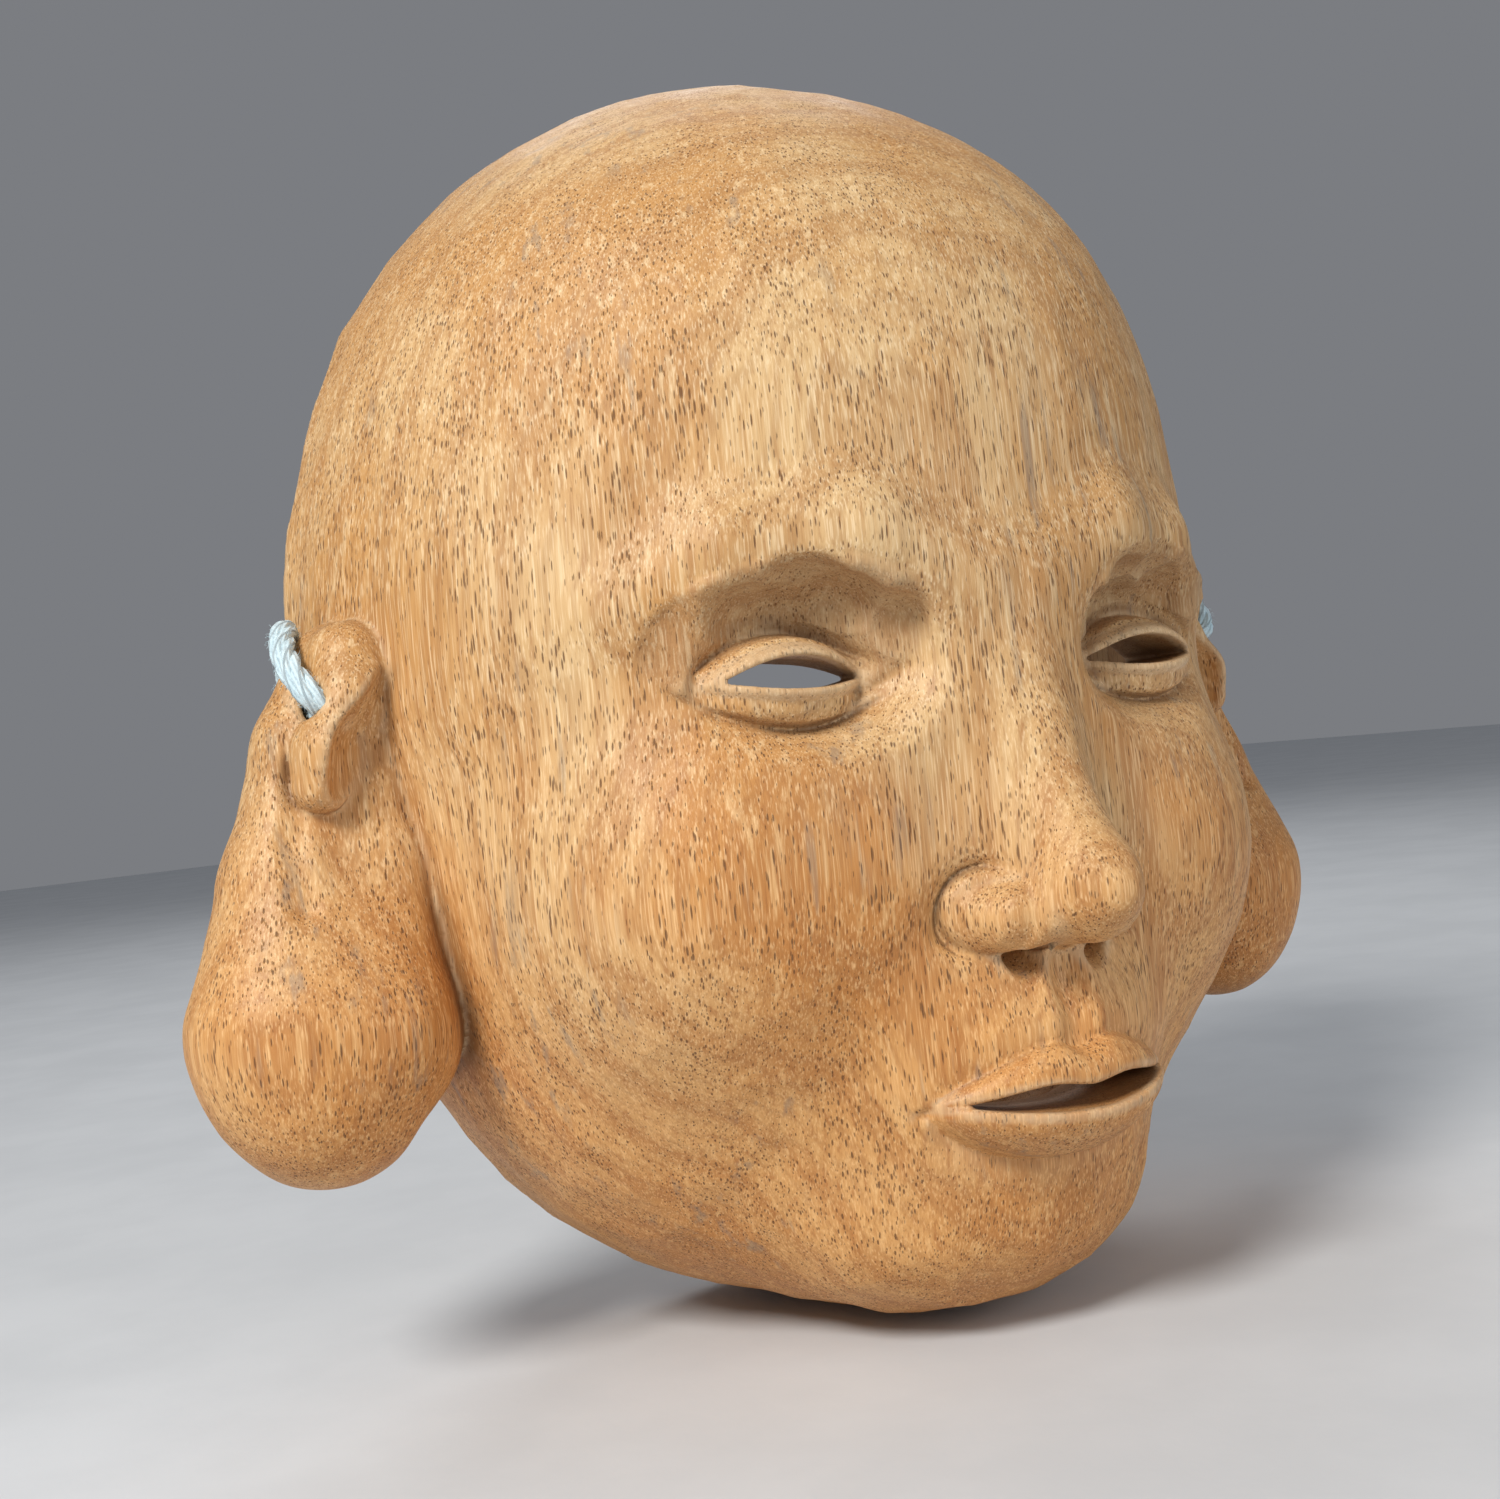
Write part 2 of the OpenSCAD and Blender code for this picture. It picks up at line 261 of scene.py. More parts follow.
def make_fibres(curve, along, side, up, seed):
    """Fine loose fibres that leave the cord's surface and curl, as thin three-sided tubes."""
    rng = np.random.default_rng(seed)
    steps = 5
    radius = np.linspace(FIBRE_ROOT_R, FIBRE_TIP_R, steps)
    ahead = np.cross(side, up)
    points, faces, used = [], [], 0
    for _ in range(int(along[-1] / FIBRE_GAP)):
        k = rng.integers(2, len(curve) - 2)
        angle = rng.uniform(0, TURN)
        out = math.cos(angle) * side[k] + math.sin(angle) * up[k]
        drift = ahead[k] * rng.uniform(-1, 1) + np.cross(ahead[k], out) * rng.uniform(-0.9, 0.9)
        reach = rng.uniform(0.3, 1.3)
        t = np.linspace(0, 1, steps)[:, None]
        height = 0.43 * CORD_D + reach * np.sin(t * rng.uniform(1.4, 2.8)) * 0.7
        line = (curve[k] + out * height + drift * t * rng.uniform(0.6, 2.2)
                + rng.normal(0, 0.07, (steps, 3)) * t)
        p, quads, _ = tube(line, *frames_along(line), radius, 3)
        points.append(p[:-2])
        faces.append(quads + used)
        used += len(p) - 2
    return np.vstack(points), np.vstack(faces)


def merge(piece, points, faces):
    """Adds points and quads to a piece's own mesh."""
    mesh = bpy.data.meshes.new("fibres")
    mesh.from_pydata((points * MM).tolist(), [], faces.tolist())
    other = bpy.data.objects.new("fibres", mesh)
    bpy.context.scene.collection.objects.link(other)
    with bpy.context.temp_override(active_object=piece, object=piece,
                                   selected_objects=[piece, other],
                                   selected_editable_objects=[piece, other]):
        bpy.ops.object.join()


def knot_route():
    """An overhand knot drawn tight: a small trefoil, longer than it is wide."""
    t = np.linspace(0.12, TURN - 0.12, 34)
    x = np.sin(t) + 2 * np.sin(2 * t)
    z = np.cos(t) - 2 * np.cos(2 * t)
    y = -np.sin(3 * t)
    knot = np.stack([0.95 * x, 1.5 * y, 1.75 * z], 1) + np.array(KNOT_AT)
    return [tuple(p) for p in knot]


def mirrored(route):
    return [(-x, y, z) for x, y, z in route]


def make_cords():
    """The cord on each side in one piece, its two knots, and the stretch that hangs between."""
    side_route = LEAD_ROUTE[::-1] + [KNOT_ENTRY] + LOOP_ROUTE[::-1][1:] + TAIL_ROUTE
    for name, flip, seed in (("right", mirrored, 3), ("left", list, 5)):
        knot, _ = twisted("knot_" + name, flip(knot_route()), "mask", seed + 20, KNOT_SQUEEZE)
        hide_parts("cord_knot_" + name)
        cord, curve = twisted("cord_" + name, flip(side_route), "mask", seed)
        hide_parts(*("cord_%s_%s" % (part, name) for part in ("loop", "tail", "lead")))
    span = SPAN_HALF + [SPAN_MIDDLE] + mirrored(SPAN_HALF[::-1])
    cord, curve = twisted("cord_back", span, "hanging_cord", 7)
    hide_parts("cord_span")


# ---------------------------------------------------------------- material helpers

class Shader:
    """A material under construction. Any value may be a number, a colour or an output."""

    def __init__(self, name):
        self.material = bpy.data.materials.new(name)
        self.material.use_nodes = True
        self.tree = self.material.node_tree
        self.tree.nodes.clear()

    def add(self, kind, inputs=None, out=0, **settings):
        """A new node's output."""
        node = self.tree.nodes.new("ShaderNode" + kind)
        for key, value in settings.items():
            setattr(node, key, value)
        for key, value in (inputs or {}).items():
            if isinstance(value, bpy.types.NodeSocket):
                self.tree.links.new(value, node.inputs[key])
            else:
                node.inputs[key].default_value = value
        return node.outputs[out]

    def math(self, operation, a, b=0.0, clamp=False):
        return self.add("Math", {0: a, 1: b}, operation=operation, use_clamp=clamp)

    def vector(self, operation, a, b):
        return self.add("VectorMath", {0: a, 1: b}, operation=operation)

    def blend(self, factor, a, b, mode="MIX"):
        """From colour a to colour b."""
        colours = [c if isinstance(c, bpy.types.NodeSocket) else (*c, 1) for c in (a, b)]
        return self.add("Mix", {0: factor, 6: colours[0], 7: colours[1]}, out=2,
                        data_type="RGBA", blend_type=mode)

    def ease(self, value, low, high, out_low=0.0, out_high=1.0):
        """Smoothly from out_low, at low, to out_high, at high."""
        return self.add("MapRange", {0: value, 1: low, 2: high, 3: out_low, 4: out_high},
                        interpolation_type="SMOOTHSTEP")

    def stretch(self, vector, x, y, z):
        """Coordinates in units of x, y and z millimetres."""
        return self.vector("MULTIPLY", vector, (1 / x, 1 / y, 1 / z))

    def noise(self, vector, detail=2.0, roughness=0.5):
        return self.add("TexNoise", {"Vector": vector, "Scale": 1.0, "Detail": detail,
                                     "Roughness": roughness})

    def cells(self, vector):
        """Distance to the nearest of many scattered points."""
        return self.add("TexVoronoi", {"Vector": vector, "Scale": 1.0})

    def attribute(self, name):
        """One of the mesh's numbers."""
        return self.add("Attribute", out=2, attribute_name=name)

    def millimetres(self):
        """The place on the object."""
        return self.vector("MULTIPLY", self.add("TexCoord", out=3), (1000, 1000, 1000))

    def finish(self, colour, roughness, normal, **constants):
        """The material, with a surface that has these values."""
        inputs = {"Base Color": colour, "Roughness": roughness, "Normal": normal}
        inputs.update({key.replace("_", " "): value for key, value in constants.items()})
        output = self.tree.nodes.new("ShaderNodeOutputMaterial")
        self.tree.links.new(self.add("BsdfPrincipled", inputs), output.inputs[0])
        return self.material


# ---------------------------------------------------------------- materials

# Colours, as linear red, green and blue
# The third yarn colour is painted shade, for the grooves between the yarn's plies and its low
# flecks
YARN_LOW, YARN_HIGH, YARN_GROOVE_SHADE = (0.56, 0.74, 0.81), (0.69, 0.84, 0.89), (0.30, 0.40, 0.48)
STRAW, AMBER = (0.68, 0.445, 0.210), (0.56, 0.290, 0.095)
RING, FINE_RING = (0.47, 0.235, 0.080), (0.34, 0.165, 0.06)
PALE_STREAK, DARK_STREAK = (0.80, 0.58, 0.32), (0.41, 0.19, 0.06)
PALE_THREAD, DARK_THREAD = (0.96, 0.75, 0.47), (0.36, 0.165, 0.055)
WARMTH = (1.03, 0.82, 0.60)
PORE, MINERAL = (0.15, 0.062, 0.022), (0.27, 0.22, 0.17)
# Painted shade in recesses and in the sockets under the brows, then the hollow's own darker
# tone
RECESS_SHADE, SOCKET_SHADE, HOLLOW = (0.17, 0.082, 0.033), (0.26, 0.13, 0.055), (0.26, 0.14, 0.065)
# The end grain's own darker tone, then pale wear on edges that also paints a highlight on the
# ridges of tool cuts
END_GRAIN, RUBBED_AND_RIDGE_HIGHLIGHT = (0.37, 0.195, 0.08), (0.74, 0.55, 0.34)
FLOOR_LOW, FLOOR_HIGH = (0.64, 0.665, 0.69), (0.69, 0.715, 0.74)

# The tree's pith, upright behind the mask, and how far apart its rings are, in millimetres
PITH = (26, 150, 0)
RING_GAP = 7.5


def cord_material():
    """Pale blue twisted cord: fine yarn in each strand, fluffy, with painted shade in the
    grooves between its plies and in its low flecks.
    """
    if "twisted_cord" in bpy.data.materials:
        return bpy.data.materials["twisted_cord"]
    s = Shader("twisted_cord")
    along, round_ = s.attribute("length_mm"), s.attribute("round")
    turns = s.math("ADD", s.math("MULTIPLY", round_, 7.0), s.math("MULTIPLY", along, 0.4))
    yarn = s.math("SINE", s.math("MULTIPLY", turns, TURN))
    spot = s.millimetres()
    fleck = s.noise(s.stretch(spot, 0.35, 0.35, 0.5), 3.0, 0.6)
    drift = s.noise(s.stretch(spot, 7, 7, 9), 2.0)
    pale = s.blend(s.ease(drift, 0.35, 0.65), YARN_LOW, YARN_HIGH)
    # Painted shade: darker in the low flecks and in the grooves between the yarn's plies, where
    # the bump is low too
    dark = s.blend(s.ease(fleck, 0.35, 0.7), YARN_GROOVE_SHADE, pale)
    colour = s.blend(s.ease(yarn, -1.0, 0.2, 0.45, 1.0), dark, pale)
    height = s.math("ADD", s.math("MULTIPLY", yarn, 0.6), fleck)
    bump = s.add("Bump", {"Strength": 0.7, "Distance": 0.00018, "Height": height})
    return s.finish(colour, 0.85, bump, Sheen_Weight=0.25, Sheen_Roughness=0.5,
                    Specular_IOR_Level=0.25)


def wood_material():
    """Oiled hardwood: upright grain with short dark pores, worn pale on its edges, with painted
    shade in its recesses and sockets and a painted highlight on tool-cut ridges.
    """
    s = Shader("oiled_wood")
    spot = s.millimetres()
    wander = s.noise(s.stretch(spot, 55, 55, 130), 2.0)
    shift = s.vector("MULTIPLY", s.math("SUBTRACT", wander, 0.5), (9.0, 7.0, 0.0))
    grain = s.vector("ADD", spot, shift)

    colour = growth_colour(s, grain)
    colour, pores = with_pores(s, colour, grain)
    colour = with_stains(s, colour, grain)
    colour = with_shade_and_wear(s, colour, grain)

    fibre = s.noise(s.stretch(grain, 0.35, 0.35, 7), 3.0, 0.6)
    rough_hewn = s.noise(s.stretch(spot, 1.1, 1.1, 2.2), 4.0, 0.65)
    hewn = s.math("MAXIMUM", s.attribute("hollow"), s.attribute("socket"))
    torn = s.math("MULTIPLY", s.math("MULTIPLY", rough_hewn, hewn), 2.0)
    height = s.math("SUBTRACT", s.math("MULTIPLY", fibre, 0.5), pores)
    height = s.math("ADD", height, torn)
    bump = s.add("Bump", {"Strength": 0.75, "Distance": 0.00022, "Height": height})
    shine = s.noise(s.stretch(spot, 14, 14, 22), 3.0)
    roughness = s.math("ADD", s.ease(shine, 0.3, 0.7, 0.46, 0.60),
                       s.math("MULTIPLY", hewn, 0.2))
    roughness = s.math("ADD", roughness, s.math("MULTIPLY", pores, 0.2), clamp=True)
    return s.finish(colour, roughness, bump, Specular_IOR_Level=0.4)


def growth_colour(s, grain):
    """Straw to orange-brown, in rings about an upright pith behind the mask."""
    flat = s.vector("MULTIPLY", s.vector("SUBTRACT", grain, PITH), (1, 1, 0.05))
    away = s.add("VectorMath", {0: flat}, out=1, operation="LENGTH")
    drift = s.math("MULTIPLY", s.noise(s.stretch(grain, 30, 30, 90), 3.0), 1.6)
    ring = s.math("ADD", s.math("MULTIPLY", away, 1 / RING_GAP), drift)
    wave = s.math("SINE", s.math("MULTIPLY", ring, TURN))
    fine = s.math("SINE", s.math("MULTIPLY", ring, TURN * 4.3))
    broad = s.noise(s.stretch(grain, 42, 42, 75), 3.0, 0.55)
    streak = s.noise(s.stretch(grain, 1.3, 1.3, 30), 3.0, 0.6)
    thread = s.noise(s.stretch(grain, 0.30, 0.30, 14), 2.0, 0.5)
    colour = s.blend(s.ease(broad, 0.36, 0.62), STRAW, AMBER)
    colour = s.blend(s.ease(wave, 0.0, 1.0, 0.0, 0.55), colour, RING)
    colour = s.blend(s.ease(fine, 0.2, 1.0, 0.0, 0.25), colour, FINE_RING)
    colour = s.blend(s.ease(streak, 0.52, 0.72, 0.0, 0.7), colour, PALE_STREAK)
    colour = s.blend(s.ease(streak, 0.48, 0.28, 0.0, 0.65), colour, DARK_STREAK)
    colour = s.blend(s.ease(thread, 0.50, 0.72, 0.0, 0.55), colour, PALE_THREAD)
    colour = s.blend(s.ease(thread, 0.43, 0.28, 0.0, 0.45), colour, DARK_THREAD)
    # the wood is warmer towards the foot of the block
    foot = s.math("MULTIPLY", s.add("SeparateXYZ", {0: grain}, out=2), -1 / 90)
    warm = s.ease(s.math("ADD", foot, broad), 0.25, 1.25)
    return s.blend(warm, colour, s.blend(1.0, colour, WARMTH, "MULTIPLY"))


def with_pores(s, colour, grain):
    """Short dark dashes along the grain, which are dots where the grain ends."""
    crowd = s.noise(s.stretch(grain, 9, 9, 26), 2.0)
    marks = []
    for width, length, size in ((0.75, 6.5, 0.26), (0.5, 3.6, 0.27)):
        near = s.cells(s.stretch(grain, width, width, length))
        limit = s.ease(crowd, 0.28, 0.6, 0.5 * size, size)
        marks.append(s.ease(s.math("DIVIDE", near, limit), 1.1, 0.5))
    pores = s.math("MAXIMUM", marks[0], s.math("MULTIPLY", marks[1], 0.75))
    return s.blend(s.math("MULTIPLY", pores, 0.85), colour, PORE), pores


def with_stains(s, colour, grain):
    """Grey mineral streaks in a few places."""
    mineral = s.noise(s.stretch(grain, 3.5, 3.5, 70), 3.0, 0.6)
    where = s.noise(s.stretch(grain, 30, 30, 40), 1.0)
    amount = s.math("MULTIPLY", s.ease(mineral, 0.55, 0.7), s.ease(where, 0.5, 0.62, 0.0, 0.5))
    return s.blend(amount, colour, MINERAL)


def with_shade_and_wear(s, colour, grain):
    """Painted shade in recesses and in the sockets under the brows, the hollow and the end
    grain in the wood's own darker tone, pale where hands rub an edge, and a painted highlight
    on the ridges between tool cuts.
    """
    blotch = s.noise(s.stretch(grain, 4, 4, 9), 4.0, 0.6)
    # Painted shade: darker where the wood around a point shuts it in
    deep = s.math("MULTIPLY", s.attribute("cavity"), s.ease(blotch, 0.2, 0.8, 0.75, 1.15))
    colour = s.blend(s.ease(deep, 0.18, 0.95, 0.0, 0.72), colour, RECESS_SHADE)
    # The socket's tint is painted shade under the brows; the hollow and the end grain get the
    # wood's own darker tone
    for name, share, tint in (("socket", 0.40, SOCKET_SHADE), ("hollow", 0.45, HOLLOW),
                              ("end_grain", 0.30, END_GRAIN)):
        colour = s.blend(s.math("MULTIPLY", s.attribute(name), share), colour, tint)
    # Pale where edges are worn, and a painted highlight on the ridges between tool cuts, which
    # the edge number carries too
    edge = s.math("MULTIPLY", s.attribute("edge"), s.ease(blotch, 0.35, 0.7, 0.5, 1.0))
    return s.blend(s.math("MULTIPLY", edge, 0.55, clamp=True), colour, RUBBED_AND_RIDGE_HIGHLIGHT)


def floor_material():
    """Pale matt floor with faint smudges."""
    s = Shader("floor")
    spot = s.millimetres()
    smudge = s.noise(s.stretch(spot, 60, 60, 60), 4.0, 0.6)
    speck = s.noise(s.stretch(spot, 2, 2, 2), 3.0)
    colour = s.blend(s.ease(smudge, 0.3, 0.7), FLOOR_LOW, FLOOR_HIGH)
    bump = s.add("Bump", {"Strength": 0.1, "Distance": 0.0004, "Height": speck})
    return s.finish(colour, 0.7, bump)


# ---------------------------------------------------------------- shape functions

def length(q):
    """The length of each row."""
    return np.sqrt(np.einsum("ij,ij->i", q, q))


def ball(p, centre, radii):
    """Distance to an ellipsoid, negative inside."""
    q = p - np.array(centre, np.float32)
    r = np.broadcast_to(np.array(radii, np.float32), 3)
    a = length(q / r)
    return a * (a - 1) / np.maximum(length(q / (r * r)), 1e-4)


def rod(p, a, b, ra, rb):
    """Distance to a rod with round ends, whose radius goes from ra at a to rb at b."""
    a, b = np.array(a, np.float32), np.array(b, np.float32)
    d, q = b - a, p - a
    size = math.sqrt(d @ d)
    slope = (rb - ra) / size
    along = q @ (d / size)
    apart = np.sqrt(np.maximum(np.einsum("ij,ij->i", q, q) - along * along, 0))
    t = np.clip((along + apart * (slope / math.sqrt(1 - slope * slope))) / size, 0, 1)
    return length(q - t[:, None] * d) - ra - t * (rb - ra)


def chain(p, beads, k):
    """Rods through a list of (x, y, z, radius), joined smoothly."""
    field = None
    for a, b in zip(beads, beads[1:]):
        part = rod(p, a[:3], b[:3], a[3], b[3])
        field = part if field is None else join(field, part, k)
    return field


def join(a, b, k):
    """Two shapes joined, with a fillet of about k."""
    h = np.maximum(k - np.abs(a - b), 0)
    return np.minimum(a, b) - h * h / (4 * k)


def scoop(a, b, k):
    """Shape b scooped out of a, with its edge rounded by about k."""
    return -join(-a, b, k)


def groove(field, offset, width, depth):
    """A V-shaped cut along the line where offset is 0."""
    return field + depth * np.maximum(1 - np.abs(offset) / width, 0)


def ledge(field, offset, depth, fade, width=0.7):
    """A knife cut along the line where offset is 0, with a slope down to it from above."""
    slope = np.exp(-np.maximum(offset, 0) / fade)
    return field + depth * np.where(offset > 0, slope, np.clip(1 + offset / width, 0, 1))


def bell(x, width):
    """1 at 0, and nearly 0 beyond twice the width."""
    return np.exp(-((x / width) ** 2))


def rise(x, low, high):
    """0 below low, 1 above high, and smooth between."""
    t = np.clip((x - low) / (high - low), 0, 1)
    return t * t * (3 - 2 * t)


def within(p, low, high):
    """The numbers of the points in a box."""
    return np.flatnonzero(((p > np.array(low)) & (p < np.array(high))).all(1))


# ---------------------------------------------------------------- the head

def skull(p):
    """The large masses, which the hollow follows too. Here and below, x is positive."""
    w, h, d = HALF_W, HALF_H, DEPTH
    field = ball(p, (0, 0, 0.07 * h), (w, d, 0.93 * h))
    masses = [
        ((0, -0.24 * d, -0.42 * h), (0.82 * w, 0.69 * d, 0.57 * h), 20),
        ((0, -0.22 * d, 0.45 * h), (0.79 * w, 0.74 * d, 0.52 * h), 14),
        ((0, -0.65 * d, -0.80 * h), (0.33 * w, 0.27 * d, 0.16 * h), 20),
        ((0.43 * w, -0.53 * d, -0.30 * h), (0.36 * w, 0.40 * d, 0.30 * h), 14),
        ((0, -0.64 * d, MOUTH_Z + 0.06 * h), (0.35 * w, 0.40 * d, 0.235 * h), 12),
    ]
    for centre, radii, fillet in masses:
        field = join(field, ball(p, centre, radii), fillet)
    return field


def carve_brow_and_eye(field, p):
    """The brow, its socket, and the lids with their slit."""
    d = DEPTH
    i = within(p, (-1, -2 * d, -32), (74, -0.45 * d, 46))
    q, f = p[i], field[i]
    brow = chain(q, [(6, -0.92 * d, BROW_Z - 3, 5.5), (26, -0.90 * d, BROW_Z + 5, 5.5),
                     (46, -0.82 * d, BROW_Z + 3, 4.5), (60, -0.71 * d, BROW_Z - 5, 3)], 6)
    f = join(f, brow, 9)
    # the socket: a wide soft hollow, and a crisp one under the brow
    f = scoop(f, ball(q, (EYE_X, -d, 1), (22, 16, 13)), 6)
    f = scoop(f, ball(q, (EYE_X + 2, -0.975 * d, 6), (22.5, 14, 11)), 0.5)
    f = join(f, ball(q, LIDS_AT, LIDS_SIZE), 0.8)

    across, height = q[:, 0] - EYE_X, q[:, 2] - EYE_Z
    half = 0.34 * EYE_W
    front = rise(-q[:, 1], 0.68 * d, 0.74 * d)
    arch = 1 - (across / half) ** 2
    top, low = 3.5 * arch, -1.8 * arch
    slope = np.sqrt(1 + (7 * across / half**2) ** 2)
    # the fold above the upper lid, the rims of both lids, and the fold below
    wide = 1 - rise(np.abs(across), 1.0 * half, 1.4 * half)
    fold = 7.4 - 6.0 * (across / (1.3 * half)) ** 2
    f = ledge(f, (height - fold) / slope, 1.7 * wide * front, 2.2)
    f = ledge(f, (height - top - 2.3) / slope, 0.9 * wide * front, 1.6)
    f = ledge(f, (low - 2.0 - height) / slope, 0.8 * wide * front, 1.8)
    bag = -7.8 + 5.2 * (across / (1.35 * half)) ** 2
    f = ledge(f, bag - height, 1.2 * wide * front, 3.0)
    slit = np.maximum(height - top, low - height) / slope
    f = scoop(f, np.maximum(slit, q[:, 1] + 0.3 * d), 0.5)
    field[i] = f


def carve_nose(field, p):
    """The nose, with a nostril that goes through the wall."""
    d = DEPTH
    i = within(p, (-1, -2 * d, NOSE_Z - 16), (36, -0.55 * d, BROW_Z + 16))
    q, f = p[i], field[i]
    flank = rod(q, (0, -0.86 * d, BROW_Z), (0, -0.93 * d, NOSE_Z + 16), 5.5, 12)
    bridge = chain(q, [(0, -0.89 * d, BROW_Z - 6, 5), (0, -0.985 * d, BROW_Z - 30, 5.2),
                       (0, -1.085 * d, NOSE_Z + 16, 6.6)], 4)
    f = join(f, flank, 12)
    f = join(f, bridge, 7)
    tip = ball(q, (0, -1.10 * d, NOSE_Z + 11), (8.2, 9.4, 8))
    wing = rod(q, (9.5, -1.03 * d, NOSE_Z + 7.5), (13.2, -0.93 * d, NOSE_Z + 8), 5.8, 6.2)
    base = rod(q, (0, -1.10 * d, NOSE_Z + 6.5), (0, -0.95 * d, NOSE_Z + 2), 3.6, 3.6)
    lobes = join(join(join(tip, wing, 6), base, 3), bridge, 6)
    f = join(f, lobes, 1.4)
    # the cut round the back of the wing
    around = ball(q, (11, -0.95 * d, NOSE_Z + 8.5), (9.0, 12, 8.0))
    cut = rise(q[:, 0], 8, 13) * rise(q[:, 2], NOSE_Z, NOSE_Z + 5)
    f = ledge(f, around, 2.1 * cut, 2.0)
    tunnel = rod(q, (7.0, -1.13 * d, NOSE_Z - 6), (8.6, -0.74 * d, NOSE_Z + 16), 3.5, 3.0)
    f = scoop(f, tunnel, 1.0)
    field[i] = f


def carve_mouth(field, p):
    """The lips, parted by a slit, the dip above them and the fold over the chin."""
    d = DEPTH
    i = within(p, (-1, -2 * d, MOUTH_Z - 38), (48, -0.4 * d, NOSE_Z + 2))
    q, f = p[i], field[i]
    x, height = q[:, 0], q[:, 2] - MOUTH_Z
    front = rise(-q[:, 1], 0.66 * d, 0.74 * d)
    # the dip under the nose, between its two soft ridges
    dip = rise(height, 5.5, 10) * front
    f = f + dip * (1.4 * bell(x, 2.6) - 0.6 * bell(x - 5, 2.0))
    chin_fold = rod(q, (0, -1.14 * d, MOUTH_Z - 20.5), (18, -1.07 * d, MOUTH_Z - 18), 9.5, 7)
    f = scoop(f, chin_fold, 6)
    # both lips stand out from the face, and end at a knife cut
    half = 0.63 * EYE_W
    arch = np.clip(1 - (x / half) ** 2, 0, 1)
    upper = (8.0 - 1.6 * bell(x, 3.6) + 0.8 * bell(x - 6.5, 4.5)) * arch**0.9 + 0.6
    lower = 10.4 * arch**0.65 + 0.6
    a, b = height / upper, -height / lower
    full = arch**0.4 * front * (x < half)
    lift = np.where(a > 0, 3.0 * np.sin(math.pi * np.clip(0.28 + 0.72 * a, 0, 0.999)) ** 0.8,
                    5.2 * np.sin(math.pi * np.clip(0.26 + 0.74 * b, 0, 0.999)) ** 0.6)
    f = f - full * np.where((a < 1) & (b < 1), lift, 0)
    f = ledge(f, height - upper, 1.0 * full, 2.5)
    f = ledge(f, -lower - height, 1.7 * full, 3.0)
    corner = 1 - rise(np.abs(x - half), 0.5, 3.0)
    f = groove(f, height + 0.15 * (x - 18), 1.2, 0.9 * corner * front)
    slit_half = 0.55 * EYE_W
    part = 1 - (x / slit_half) ** 2
    top = 2.1 * part - (0.7 * bell(x, 4.5) - 0.5 * bell(x - 9, 6)) * (part > 0)
    slit = np.maximum(height - top, -2.2 * part - height)
    f = scoop(f, np.maximum(slit, q[:, 1] + 0.3 * d), 0.6)
    field[i] = f


def carve_ear(field, p):
    """The long ear with its lobe, its front flap and the cord's hole."""
    i = within(p, (66, -60, EAR_LOW - 8), (140, 12, EAR_TOP + 12))
    q, f = p[i], field[i]
    w, y = HALF_W, EAR_Y
    plate = chain(q, [(w - 2, y, EAR_TOP - 7.5, 7.3), (w + 5, y - 0.5, -3, 7.8),
                      (w + 9.5, y - 1, -24, 10.8), (w + 12, y - 3, EAR_LOW + 27, 17.8)], 3)
    inner = chain(q, [(w - 3.5, y - 1, 4, 8), (w - 5, y - 3, -24, 9.5),
                      (w + 2.5, y - 4, EAR_LOW + 25, 17.2),
                      (w + 8, y - 3, EAR_LOW + 18, 17.6)], 3)
    ear = join(plate, inner, 6)
    # the shallow hollow of the ear, between its rim and its front flap
    shallow = chain(q, [(w + 6, y - 12.2, HOLE_Z + 2, 4.0), (w + 9.5, y - 11.7, -7, 4.4),
                        (w + 12.5, y - 13.2, -17, 3.2), (w + 12, y - 15.5, -28, 3)], 3)
    ear = scoop(ear, shallow, 1.2)
    flap = chain(q, [(w - 2.5, y - 5.5, EAR_TOP - 7.5, 7.2), (w - 1, y - 9.5, 4, 6),
                     (w + 3.5, y - 10.8, -4, 6), (w + 6, y - 10.5, -9.5, 4.6)], 3)
    ear = join(ear, flap, 0.8)
    # a deep scoop from below separates the flap from the head
    deep = chain(q, [(w - 9.5, y - 15, 15, 1.5), (w - 8, y - 17, 4, 5.6),
                     (w - 3, y - 18.5, -5, 8.6), (w - 0.5, y - 18.5, -9.5, 8.0)], 2)
    f = join(f, scoop(ear, deep, 0.5), 1.6)
    # the cord's hole, which turns outwards under the flap
    back, turn = (HOLE_X, 20, HOLE_Z), (HOLE_X, y - 8.5, HOLE_Z)
    drill = np.minimum(rod(q, back, turn, HOLE_D / 2, HOLE_D / 2),
                       rod(q, turn, (w + 11, y - 13, HOLE_Z + 2.5), HOLE_D / 2, HOLE_D / 2))
    field[i] = scoop(f, drill, 0.7)


def uneven(p):
    """Moves the points a little, because the two sides of a hand carving never match."""
    x, y, z = p.T
    return p + np.stack([0.45 * np.sin(z / 23 + x / 37 + 1.1),
                         0.40 * np.sin(x / 29 + z / 41 + 2.0),
                         0.55 * np.sin(x / 33 + 0.4) + 0.3 * np.sin(x / 14 + y / 19)], 1)


def folded(p):
    """Both sides of the mask, laid onto the side where x is positive."""
    q = p.copy()
    q[:, 0] = np.abs(q[:, 0])
    return q


def outside(p):
    """The carved front, before it is hollowed."""
    q = folded(uneven(p))
    field = skull(q)
    carve_brow_and_eye(field, q)
    carve_nose(field, q)
    carve_mouth(field, q)
    return field


